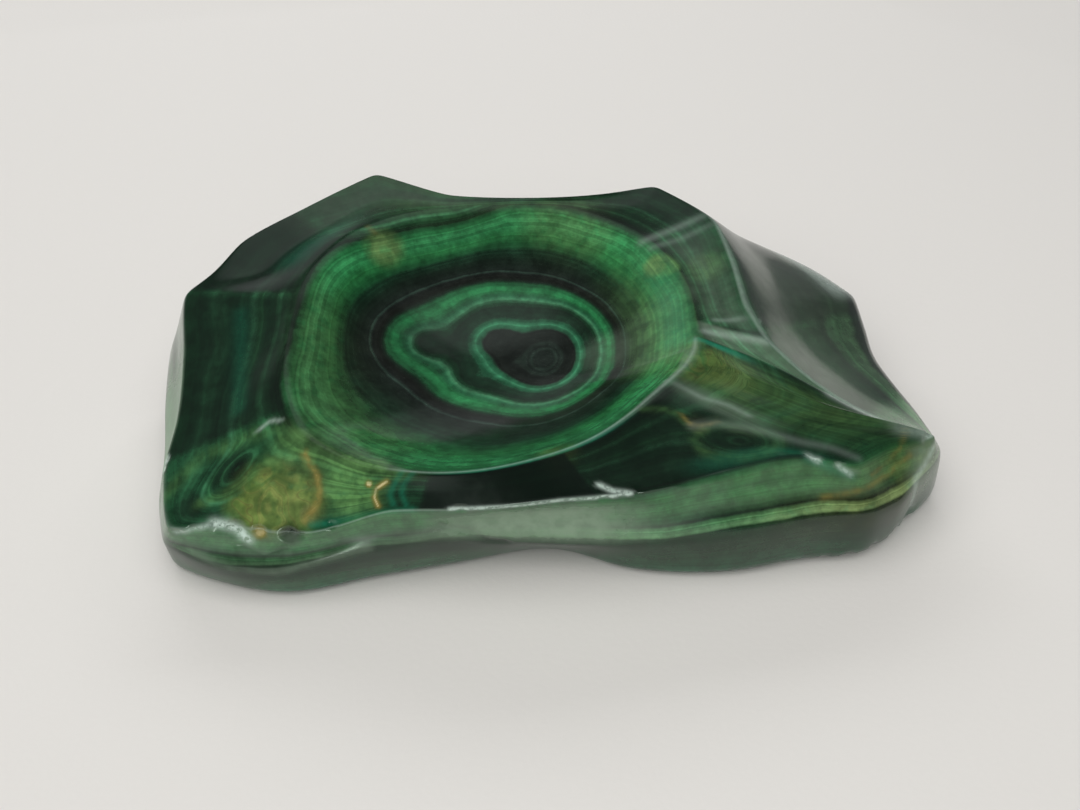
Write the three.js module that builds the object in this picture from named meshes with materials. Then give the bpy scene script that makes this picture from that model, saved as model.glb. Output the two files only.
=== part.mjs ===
// A polished freeform of malachite: one piece of banded copper ore, ground to soft-edged facets all round
// and hollowed on top into a round dish. Millimetres, +Z up, resting on its flat ground underside.
import * as THREE from "three";

// The dish
const DISH_CENTRE = [-12, 2]; // where the grinding wheel went deepest, in plan
const DISH_FLOOR = 16; // height of that point above the underside
const DISH_STEEPNESS = 2.3; // 2 is a plain bowl, and more leaves a flatter floor under steeper sides
const LIP_START = 0.7; // share of the way out to the rim at which a rolled lip leaves the bowl

// The outside
const FOOT_ROUNDING = 0.7; // share of a side ridge's sharpness that is left where it reaches the underside
const UNDERSIDE_INSET = 0.5; // where the ring that divides the flat underside lies, from foot to middle

// The facets, told by what bounds them along a line out from the dish. The stations go round the stone
// anticlockwise from its right-hand tip, as seen from above.
//   rim    where the dish ends
//   edge   where the top ends
//   waist  where the side stands out furthest, or changes its slope
//   tuck   how far the foot is drawn in below the waist
//   hollow how far the top facet is scooped out midway between rim and edge, square to the top
//   dent   the same for the side facet between edge and waist
//   ridge  how sharply two facets meet along this line: on the top, and on the side
//   crisp  how sharp the stone is across this line: at the rim, the edge and the waist
//   bow    how far, in plan, the line over the top swings aside at its middle, where it does
const STATIONS = [
  {
    name: "tip",
    rim: [25.8, -9.5, 28.9], edge: [70.7, -20.5, 18], waist: [74.5, -18.5, 11], tuck: -1.2,
    hollow: -1.5, dent: 0, ridge: [0, 0.3], crisp: [1, 0.6, 0.5], bow: [-0.3, -4.5],
  },
  {
    name: "behind the tip",
    rim: [26.8, -7, 29], edge: [62.6, -19.9, 20.2], waist: [72.5, -9, 13], tuck: 0,
    hollow: -1.3, dent: 0.3, ridge: [0, 0], crisp: [1, 0.9, 0.7], bow: [0.1, -4.4],
  },
  {
    name: "olive facet's upper ridge",
    rim: [27.2, -4.6, 29.2], edge: [56.2, -18.1, 22], waist: [69.8, 0, 14], tuck: 1,
    hollow: -1.7, dent: 1.5, ridge: [0.9, 0], crisp: [0.9, 0.9, 0.8], bow: [0.3, -1],
  },
  {
    name: "low on the long ridge",
    rim: [27.4, -2.5, 29.4], edge: [48.8, -13.9, 25], waist: [68.3, 9, 14], tuck: 1.5,
    hollow: -0.3, dent: 3, ridge: [0, 0], crisp: [0.8, 0.9, 0.9],
  },
  {
    name: "midway up the long ridge",
    rim: [27.5, -0.2, 29.6], edge: [40.5, -6, 29], waist: [69, 20, 14], tuck: 2,
    hollow: 0, dent: 4, ridge: [0.8, 0], crisp: [0.7, 0.9, 0.9],
  },
  {
    name: "high on the long ridge",
    rim: [27.4, 6, 30], edge: [37.5, 3, 31], waist: [69, 31, 15], tuck: 3,
    hollow: 1.2, dent: 3.5, ridge: [0, 0.8], crisp: [0.5, 0.8, 0.9],
  },
  {
    name: "neck of the long ridge",
    rim: [26, 16, 30.5], edge: [36.5, 17.5, 33], waist: [60, 39.5, 17], tuck: 3,
    hollow: 1.2, dent: 2, ridge: [0, 0], crisp: [0.4, 0.7, 0.8],
  },
  {
    name: "head of the long ridge",
    rim: [20, 26.5, 31.5], edge: [34.5, 30.5, 34.5], waist: [49, 43, 20], tuck: 4,
    hollow: 0.3, dent: 0.5, ridge: [0.5, 0.4], crisp: [0.3, 0.9, 0.7],
  },
  {
    name: "back right knob",
    rim: [12, 34.5, 32], edge: [23.5, 44.5, 35], waist: [30, 51, 18], tuck: 4,
    hollow: 0.6, dent: 0, ridge: [0.5, 0.9], crisp: [0.3, 1, 0.5],
  },
  {
    name: "saddle, right",
    rim: [2, 39.5, 32.3], edge: [11.5, 42.5, 34], waist: [14, 49, 17], tuck: 5,
    hollow: 0.2, dent: 1.2, ridge: [0, 0], crisp: [0.3, 0.9, 0.4],
  },
  {
    name: "saddle, middle",
    rim: [-10, 40, 32.5], edge: [-6.5, 42, 33.3], waist: [-5, 47.5, 15], tuck: 4,
    hollow: 0, dent: 1.5, ridge: [0, 0], crisp: [0.3, 0.8, 0.4],
  },
  {
    name: "saddle, left",
    rim: [-24, 38, 32.8], edge: [-22.5, 42, 34], waist: [-22, 49, 17], tuck: 4,
    hollow: 0.2, dent: 0.8, ridge: [0, 0.5], crisp: [0.2, 0.8, 0.4],
  },
  {
    name: "back peak",
    rim: [-35, 33.5, 32.8], edge: [-39.5, 48.5, 36], waist: [-42, 54, 19], tuck: 5,
    hollow: 0.8, dent: 0, ridge: [0.3, 0.9], crisp: [0.2, 1, 0.5],
  },
  {
    name: "left shoulder, high",
    rim: [-43.5, 27, 32.3], edge: [-54, 36, 34], waist: [-58, 41, 18], tuck: 4,
    hollow: 1.5, dent: 1.5, ridge: [0, 0], crisp: [0.1, 0.9, 0.5],
  },
  {
    name: "left shoulder, middle",
    rim: [-47, 21, 31.7], edge: [-65.3, 25.3, 32], waist: [-69, 29.5, 17], tuck: 3,
    hollow: 1.8, dent: 1, ridge: [0.2, 0.4], crisp: [0.1, 0.8, 0.5],
  },
  {
    name: "left shoulder, low",
    rim: [-49.5, 15.5, 31], edge: [-70.3, 17.8, 29], waist: [-75.5, 22, 14], tuck: 3,
    hollow: 1.4, dent: 1, ridge: [0, 0], crisp: [0.1, 0.8, 0.5],
  },
  {
    name: "left back corner",
    rim: [-50.5, 8, 30], edge: [-75, 13.5, 27], waist: [-82, 14, 11], tuck: 3,
    hollow: -0.3, dent: 0, ridge: [0.8, 0.8], crisp: [0.1, 0.9, 0.5],
  },
  {
    name: "left side, high",
    rim: [-50.5, -4, 29], edge: [-71.5, -4, 23.5], waist: [-79.5, 0, 9.5], tuck: 2,
    hollow: 1.6, dent: 0.8, ridge: [0, 0], crisp: [0.2, 0.9, 0.4],
  },
  {
    name: "left side, low",
    rim: [-49.5, -13.5, 28], edge: [-70, -18.5, 19], waist: [-75.5, -16, 8], tuck: 2,
    hollow: 1.2, dent: 0.5, ridge: [0, 0], crisp: [0.3, 0.9, 0.4],
  },
  {
    name: "left front corner",
    rim: [-46.5, -22.5, 26.3], edge: [-71, -26, 15.5], waist: [-73.5, -27, 7], tuck: 1.5,
    hollow: -0.2, dent: 0, ridge: [0.9, 0.4], crisp: [0.3, 0.8, 0.4],
  },
  {
    name: "left end of the front",
    rim: [-43.5, -27.5, 25.2], edge: [-66.5, -40, 14], waist: [-69.8, -37, 7], tuck: 0.6,
    hollow: 0.6, dent: 0, ridge: [0, 0.7], crisp: [0.3, 0.8, 0.5],
  },
  {
    name: "left foot, left",
    rim: [-38.5, -31.5, 24.5], edge: [-56, -40, 14.5], waist: [-60.5, -42.3, 7.5], tuck: 2,
    hollow: 0.8, dent: 0.5, ridge: [0, 0], crisp: [0.3, 0.8, 0.6],
  },
  {
    name: "left foot, right",
    rim: [-31.5, -34.8, 24.2], edge: [-43, -41, 14], waist: [-49, -44, 8], tuck: 0.8,
    hollow: 0.9, dent: 0.9, ridge: [0, 0], crisp: [0.5, 0.8, 0.6],
  },
  {
    name: "right end of the eye facet",
    rim: [-24.5, -36.5, 24.2], edge: [-28, -39.5, 18], waist: [-32.5, -41.8, 10], tuck: 2.5,
    hollow: 0.3, dent: 0.6, ridge: [0.6, 0], crisp: [0.9, 0.9, 0.6],
  },
  {
    name: "notch, left",
    rim: [-14, -37.2, 25], edge: [-13.7, -40.2, 19], waist: [-17, -39.6, 10.5], tuck: 3.5,
    hollow: 0, dent: 1, ridge: [0, 0], crisp: [1, 1, 0.8],
  },
  {
    name: "notch, middle",
    rim: [-4, -35.5, 26], edge: [1.2, -39.3, 20.3], waist: [1.3, -38.3, 8], tuck: 6.5,
    hollow: 0, dent: 1.4, ridge: [0, 0], crisp: [1, 1, 1],
  },
  {
    name: "right foot, left",
    rim: [6, -31.5, 27], edge: [13.2, -38, 20.5], waist: [15.5, -39.2, 9], tuck: 1.6,
    hollow: 0.3, dent: 0.8, ridge: [0, 0], crisp: [1, 1, 0.8],
  },
  {
    name: "right foot, middle",
    rim: [14.5, -24.5, 28], edge: [27.5, -34, 21], waist: [32.5, -38.5, 11], tuck: -0.5,
    hollow: 0.8, dent: 0.4, ridge: [0, 0], crisp: [1, 1, 0.6],
  },
  {
    name: "right foot, right",
    rim: [17.5, -21, 28.3], edge: [43.5, -30.3, 22], waist: [47, -36, 12], tuck: 0.3,
    hollow: 1, dent: 0.4, ridge: [0, 0], crisp: [1, 1, 0.6], bow: [-1, -2],
  },
  {
    name: "dark facet's upper ridge",
    rim: [20, -18, 28.5], edge: [53.6, -29.8, 19.6], waist: [57, -34.6, 12], tuck: 0,
    hollow: -0.8, dent: 0.4, ridge: [0.9, 0.2], crisp: [1, 0.9, 0.6], bow: [0, -2.8],
  },
  {
    name: "end of the olive facet",
    rim: [22.5, -15, 28.7], edge: [61.2, -23.9, 18.6], waist: [63.2, -30.5, 10.5], tuck: 0,
    hollow: -1.1, dent: 0.4, ridge: [0, 0.4], crisp: [1, 0.8, 0.5], bow: [-0.3, -4],
  },
  {
    name: "front ridge of the tip",
    rim: [24.6, -12, 28.8], edge: [69.1, -21.3, 18], waist: [67.8, -25.6, 11], tuck: -0.3,
    hollow: -1.5, dent: 0, ridge: [0, 0.8], crisp: [1, 0.7, 0.5], bow: [-0.8, -5.3],
  },
];

// How finely the surface is laid out
const COLUMN_WIDTH = 3.6; // aimed at along the edge
const DISH_RINGS = [0.12, 0.25, 0.38, 0.5, 0.62, 0.73, 0.83, 0.92]; // shares of the way out to the rim
const SPAN_STEPS = [4, 4, 4, 4, 3, 2]; // from rim to half-way, edge, half-way, waist, foot and underside ring
const HALF_WAY = 0.5; // where the rings through the middle of the top and side facets start from
const SHORTEST = 1e-6; // keeps a division safe where two points meet

const vec = (p) => new THREE.Vector3(p[0], p[1], p[2]);
const plan = (p, z) => new THREE.Vector3(p.x, p.y, z);
const mix = (a, b, share) => a + (b - a) * share;
const DISH_BOTTOM = vec([...DISH_CENTRE, DISH_FLOOR]);
const UNDERSIDE_CENTRE = vec([...DISH_CENTRE, 0]);

// The tangents into and out of each point of a curve. A sharp point heads straight for its neighbours.
function tangents(points, sharp, closed) {
  const count = points.length;
  return points.map((p, i) => {
    const before = closed || i > 0 ? points[(i + count - 1) % count] : null;
    const after = closed || i < count - 1 ? points[(i + 1) % count] : null;
    const comingIn = before ? p.clone().sub(before) : null;
    const goingOut = after ? after.clone().sub(p) : null;
    if (!before || !after) return { in: comingIn, out: goingOut };
    const a = Math.max(comingIn.length(), SHORTEST);
    const b = Math.max(goingOut.length(), SHORTEST);
    const smooth = comingIn.clone().multiplyScalar(b / a).addScaledVector(goingOut, a / b);
    smooth.divideScalar(a + b);
    return {
      in: smooth.clone().multiplyScalar(a).lerp(comingIn, sharp[i]),
      out: smooth.clone().multiplyScalar(b).lerp(goingOut, sharp[i]),
    };
  });
}

// The point at a share of the way along the cubic from a to b.
function hermite(a, out, b, into, t) {
  const t2 = t * t;
  const t3 = t2 * t;
  return a.clone().multiplyScalar(2 * t3 - 3 * t2 + 1)
    .addScaledVector(out, t3 - 2 * t2 + t)
    .addScaledVector(b, 3 * t2 - 2 * t3)
    .addScaledVector(into, t3 - t2);
}

// The six rings of points outside the dish: rim, top, edge, side, waist and foot, each with its ridges.
function ringsOf(stations) {
  const rims = stations.map((s) => vec(s.rim));
  const edges = stations.map((s) => vec(s.edge));
  const waists = stations.map((s) => vec(s.waist));
  const onTop = stations.map((s) => s.ridge[0]);
  const onSide = stations.map((s) => s.ridge[1]);
  const inward = waists.map((waist) => UNDERSIDE_CENTRE.clone().sub(plan(waist, 0)).normalize());
  const tops = stations.map(({ hollow, bow = [0, 0] }, i) =>
    rims[i].clone().lerp(edges[i], HALF_WAY).add(vec([...bow, -hollow])));
  const sides = stations.map(({ dent }, i) =>
    edges[i].clone().lerp(waists[i], HALF_WAY).addScaledVector(inward[i], dent));
  const feet = stations.map(({ tuck }, i) => plan(waists[i], 0).addScaledVector(inward[i], tuck));
  const corner = onTop.map((ridge, i) => Math.max(ridge, onSide[i]));
  return [
    { points: rims, sharp: rims.map(() => 0) },
    { points: tops, sharp: onTop },
    { points: edges, sharp: corner },
    { points: sides, sharp: onSide },
    { points: waists, sharp: onSide },
    { points: feet, sharp: onSide.map((ridge) => ridge * FOOT_ROUNDING) },
  ];
}

// Where each column of the surface stands: the stations, and evenly between them.
function columnsOf(stations) {
  return stations.flatMap((s, i) => {
    const next = stations[(i + 1) % stations.length];
    const gap = vec(s.edge).distanceTo(vec(next.edge));
    const count = Math.max(2, Math.round(gap / COLUMN_WIDTH));
    return Array.from({ length: count }, (_, k) => ({ station: i, share: k / count }));
  });
}

// How far up the dish's side is at a share of the way out: to a crisp rim, or to a lip that rolls over level.
function dishRise(out, crisp) {
  const bowl = out ** DISH_STEEPNESS;
  if (out <= LIP_START) return bowl;
  const width = 1 - LIP_START;
  const t = (out - LIP_START) / width;
  const start = LIP_START ** DISH_STEEPNESS;
  const slope = DISH_STEEPNESS * LIP_START ** (DISH_STEEPNESS - 1) * width;
  const rolled = start + slope * (t - 2 * t * t + t ** 3) + (1 - start) * (3 * t * t - 2 * t ** 3);
  return mix(rolled, bowl, crisp);
}

// One column of the surface, from next to the dish's middle out over the edge and in under the stone.
function columnPoints(rings, stations, { station, share }) {
  const next = (station + 1) % stations.length;
  const across = rings.map(({ points, turn }) =>
    hermite(points[station], turn[station].out, points[next], turn[next].in, share));
  const crisp = [0, 1, 2].map((k) => mix(stations[station].crisp[k], stations[next].crisp[k], share));
  const [rim] = across;
  const dish = DISH_RINGS.map((out) =>
    plan(DISH_BOTTOM.clone().lerp(rim, out), mix(DISH_FLOOR, rim.z, dishRise(out, crisp[0]))));
  const under = across.at(-1).clone().lerp(UNDERSIDE_CENTRE, UNDERSIDE_INSET);
  const profile = [...across, under];
  const sharp = [1, 0, crisp[1], 0, crisp[2], 1, 1];
  const turn = tangents(profile, sharp, false);
  const outside = SPAN_STEPS.flatMap((steps, k) => Array.from({ length: steps }, (_, i) =>
    hermite(profile[k], turn[k].out, profile[k + 1], turn[k + 1].in, i / steps)));
  return [...dish, ...outside, under];
}

function stoneGeometry() {
  const rings = ringsOf(STATIONS).map((ring) => ({ ...ring, turn: tangents(ring.points, ring.sharp, true) }));
  const columns = columnsOf(STATIONS).map((column) => columnPoints(rings, STATIONS, column));
  const deep = columns[0].length;
  const points = [...columns.flat(), DISH_BOTTOM, UNDERSIDE_CENTRE];
  const top = points.length - 2;
  const bottom = points.length - 1;
  const faces = columns.flatMap((_, c) => {
    const here = c * deep;
    const there = ((c + 1) % columns.length) * deep;
    const strip = Array.from({ length: deep - 1 }, (_, r) => [
      here + r, here + r + 1, there + r + 1,
      here + r, there + r + 1, there + r,
    ]).flat();
    return [top, here, there, ...strip, here + deep - 1, bottom, there + deep - 1];
  });
  const geometry = new THREE.BufferGeometry().setFromPoints(points);
  geometry.setIndex(faces);
  geometry.computeBoundingBox();
  const { min, max } = geometry.boundingBox;
  geometry.translate(-(min.x + max.x) / 2, -(min.y + max.y) / 2, 0);
  geometry.computeVertexNormals();
  return geometry;
}

const malachite = new THREE.MeshStandardMaterial({ color: 0x1d4a30, roughness: 0.22, metalness: 0 });
const stone = new THREE.Mesh(stoneGeometry(), malachite);
stone.name = "stone";

const specimen = new THREE.Group();
specimen.add(stone);

export default specimen;
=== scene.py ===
"""Looks of a polished malachite freeform: one banded stone, ground to soft facets and hollowed into a dish.

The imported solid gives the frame. This script lays a finer skin over the same facets, works out for every
point of it which layer of the ore the grinding has reached, and finishes it as polished malachite.
Lengths are in millimetres up to the meshes, which are in metres.
"""
import logging
import math
from dataclasses import dataclass, field
from enum import Enum
from functools import partial

import bpy
import numpy as np
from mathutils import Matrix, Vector


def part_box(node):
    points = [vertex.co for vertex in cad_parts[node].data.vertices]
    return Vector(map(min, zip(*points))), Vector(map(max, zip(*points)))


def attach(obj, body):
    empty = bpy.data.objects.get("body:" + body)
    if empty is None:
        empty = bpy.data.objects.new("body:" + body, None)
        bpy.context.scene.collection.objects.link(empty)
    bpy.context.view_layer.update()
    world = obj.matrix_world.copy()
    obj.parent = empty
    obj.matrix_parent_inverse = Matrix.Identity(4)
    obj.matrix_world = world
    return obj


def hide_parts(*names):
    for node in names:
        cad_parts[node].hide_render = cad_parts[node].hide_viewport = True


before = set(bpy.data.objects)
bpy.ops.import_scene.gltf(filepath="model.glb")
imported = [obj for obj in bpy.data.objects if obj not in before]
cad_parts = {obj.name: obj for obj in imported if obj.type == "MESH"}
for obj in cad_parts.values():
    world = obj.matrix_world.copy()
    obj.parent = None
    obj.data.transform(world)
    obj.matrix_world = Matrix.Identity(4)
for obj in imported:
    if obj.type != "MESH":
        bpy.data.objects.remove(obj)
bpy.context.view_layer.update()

logging.basicConfig(level=logging.INFO, format="%(message)s")
log = logging.getLogger("malachite")

Array = np.ndarray
Pair = tuple[float, float]
Point = tuple[float, float, float]
Colour = tuple[float, float, float, float]
MM = 0.001
TINY = 1e-6


# The shape of the stone
class Ring(Enum):
    """The rings of named points that bound the facets, by how far out from the dish's middle they run."""

    RIM = 1.0
    TOP = 1.5
    EDGE = 2.0
    SIDE = 2.5
    WAIST = 3.0
    FOOT = 4.0
    UNDER = 5.0


@dataclass(frozen=True)
class Station:
    """The facets along one line out from the dish.

    rim, edge and waist are points. tuck draws the foot in below the waist. hollow scoops out the top facet
    and dent the side facet. ridge says how sharply facets meet along the line (top, side), and crisp how
    sharp the stone is across it (rim, edge, waist). bow swings the middle of the top aside, in plan.
    """

    rim: Point
    edge: Point
    waist: Point
    tuck: float
    hollow: float
    dent: float
    ridge: Pair
    crisp: tuple[float, float, float]
    bow: Pair = (0.0, 0.0)


# Round the stone anticlockwise from its right-hand tip, as seen from above.
STATIONS = tuple(Station(*row) for row in (
    # tip, and behind it
    ((25.8, -9.5, 28.9), (70.7, -20.5, 18), (74.5, -18.5, 11), -1.2, -1.5, 0, (0, .3), (1, .6, .5),
     (-.3, -4.5)),
    ((26.8, -7, 29), (62.6, -19.9, 20.2), (72.5, -9, 13), 0, -1.3, .3, (0, 0), (1, .9, .7), (.1, -4.4)),
    # upper ridge of the olive facet, then up the long ridge to its head
    ((27.2, -4.6, 29.2), (56.2, -18.1, 22), (69.8, 0, 14), 1, -1.7, 1.5, (.9, 0), (.9, .9, .8), (.3, -1)),
    ((27.4, -2.5, 29.4), (48.8, -13.9, 25), (68.3, 9, 14), 1.5, -.3, 3, (0, 0), (.8, .9, .9)),
    ((27.5, -.2, 29.6), (40.5, -6, 29), (69, 20, 14), 2, 0, 4, (.8, 0), (.7, .9, .9)),
    ((27.4, 6, 30), (37.5, 3, 31), (69, 31, 15), 3, 1.2, 3.5, (0, .8), (.5, .8, .9)),
    ((26, 16, 30.5), (36.5, 17.5, 33), (60, 39.5, 17), 3, 1.2, 2, (0, 0), (.4, .7, .8)),
    ((20, 26.5, 31.5), (34.5, 30.5, 34.5), (49, 43, 20), 4, .3, .5, (.5, .4), (.3, .9, .7)),
    # back right knob, the saddle, the back peak
    ((12, 34.5, 32), (23.5, 44.5, 35), (30, 51, 18), 4, .6, 0, (.5, .9), (.3, 1, .5)),
    ((2, 39.5, 32.3), (11.5, 42.5, 34), (14, 49, 17), 5, .2, 1.2, (0, 0), (.3, .9, .4)),
    ((-10, 40, 32.5), (-6.5, 42, 33.3), (-5, 47.5, 15), 4, 0, 1.5, (0, 0), (.3, .8, .4)),
    ((-24, 38, 32.8), (-22.5, 42, 34), (-22, 49, 17), 4, .2, .8, (0, .5), (.2, .8, .4)),
    ((-35, 33.5, 32.8), (-39.5, 48.5, 36), (-42, 54, 19), 5, .8, 0, (.3, .9), (.2, 1, .5)),
    # left shoulder down to the left back corner
    ((-43.5, 27, 32.3), (-54, 36, 34), (-58, 41, 18), 4, 1.5, 1.5, (0, 0), (.1, .9, .5)),
    ((-47, 21, 31.7), (-65.3, 25.3, 32), (-69, 29.5, 17), 3, 1.8, 1, (.2, .4), (.1, .8, .5)),
    ((-49.5, 15.5, 31), (-70.3, 17.8, 29), (-75.5, 22, 14), 3, 1.4, 1, (0, 0), (.1, .8, .5)),
    ((-50.5, 8, 30), (-75, 13.5, 27), (-82, 14, 11), 3, -.3, 0, (.8, .8), (.1, .9, .5)),
    # left side and the left front corner
    ((-50.5, -4, 29), (-71.5, -4, 23.5), (-79.5, 0, 9.5), 2, 1.6, .8, (0, 0), (.2, .9, .4)),
    ((-49.5, -13.5, 28), (-70, -18.5, 19), (-75.5, -16, 8), 2, 1.2, .5, (0, 0), (.3, .9, .4)),
    ((-46.5, -22.5, 26.3), (-71, -26, 15.5), (-73.5, -27, 7), 1.5, -.2, 0, (.9, .4), (.3, .8, .4)),
    # the eye facet and the left foot
    ((-43.5, -27.5, 25.2), (-66.5, -40, 14), (-69.8, -37, 7), .6, .6, 0, (0, .7), (.3, .8, .5)),
    ((-38.5, -31.5, 24.5), (-56, -40, 14.5), (-60.5, -42.3, 7.5), 2, .8, .5, (0, 0), (.3, .8, .6)),
    ((-31.5, -34.8, 24.2), (-43, -41, 14), (-49, -44, 8), .8, .9, .9, (0, 0), (.5, .8, .6)),
    ((-24.5, -36.5, 24.2), (-28, -39.5, 18), (-32.5, -41.8, 10), 2.5, .3, .6, (.6, 0), (.9, .9, .6)),
    # the notch
    ((-14, -37.2, 25), (-13.7, -40.2, 19), (-17, -39.6, 10.5), 3.5, 0, 1, (0, 0), (1, 1, .8)),
    ((-4, -35.5, 26), (1.2, -39.3, 20.3), (1.3, -38.3, 8), 6.5, 0, 1.4, (0, 0), (1, 1, 1)),
    # the dark facet over the right foot, and the end of the olive facet
    ((6, -31.5, 27), (13.2, -38, 20.5), (15.5, -39.2, 9), 1.6, .3, .8, (0, 0), (1, 1, .8)),
    ((14.5, -24.5, 28), (27.5, -34, 21), (32.5, -38.5, 11), -.5, .8, .4, (0, 0), (1, 1, .6)),
    ((17.5, -21, 28.3), (43.5, -30.3, 22), (47, -36, 12), .3, 1, .4, (0, 0), (1, 1, .6), (-1, -2)),
    ((20, -18, 28.5), (53.6, -29.8, 19.6), (57, -34.6, 12), 0, -.8, .4, (.9, .2), (1, .9, .6), (0, -2.8)),
    ((22.5, -15, 28.7), (61.2, -23.9, 18.6), (63.2, -30.5, 10.5), 0, -1.1, .4, (0, .4), (1, .8, .5),
     (-.3, -4)),
    ((24.6, -12, 28.8), (69.1, -21.3, 18), (67.8, -25.6, 11), -.3, -1.5, 0, (0, .8), (1, .7, .5),
     (-.8, -5.3)),
))


def mix(a: Array | float, b: Array | float, share: Array | float) -> Array | float:
    """Returns the value at a share of the way from a to b."""
    return a + (b - a) * share


def smoothstep(low: float, high: float, value: Array) -> Array:
    """Returns 0 below low and 1 above high, with a soft step between them."""
    t = np.clip((value - low) / (high - low), 0.0, 1.0)
    return t * t * (3.0 - 2.0 * t)


def tangents(points: Array, sharp: Array, closed: bool) -> tuple[Array, Array]:
    """Tangents of curves through points. A sharp point heads straight for its neighbours.

    Args:
        points: Points of one or more curves, (..., n, 3).
        sharp: How sharp each point is, 0 to 1, (..., n).
        closed: Whether the curves close on themselves.

    Returns:
        The tangents into the points and out of them.
    """
    ahead = np.roll(points, -1, axis=-2) - points
    behind = np.roll(ahead, 1, axis=-2)
    a = np.maximum(np.linalg.norm(behind, axis=-1, keepdims=True), TINY)
    b = np.maximum(np.linalg.norm(ahead, axis=-1, keepdims=True), TINY)
    smooth = (behind * (b / a) + ahead * (a / b)) / (a + b)
    keep = sharp[..., None]
    into = mix(smooth * a, behind, keep)
    out = mix(smooth * b, ahead, keep)
    if not closed:
        out[..., 0, :] = ahead[..., 0, :]
        into[..., -1, :] = behind[..., -1, :]
    return into, out


def hermite(a: Array, out: Array, b: Array, into: Array, t: Array) -> Array:
    """Returns the points at the shares t of the way along the cubics from a to b."""
    t2, t3 = t * t, t * t * t
    return a * (2 * t3 - 3 * t2 + 1) + out * (t3 - 2 * t2 + t) + b * (3 * t2 - 2 * t3) + into * (t3 - t2)


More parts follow.
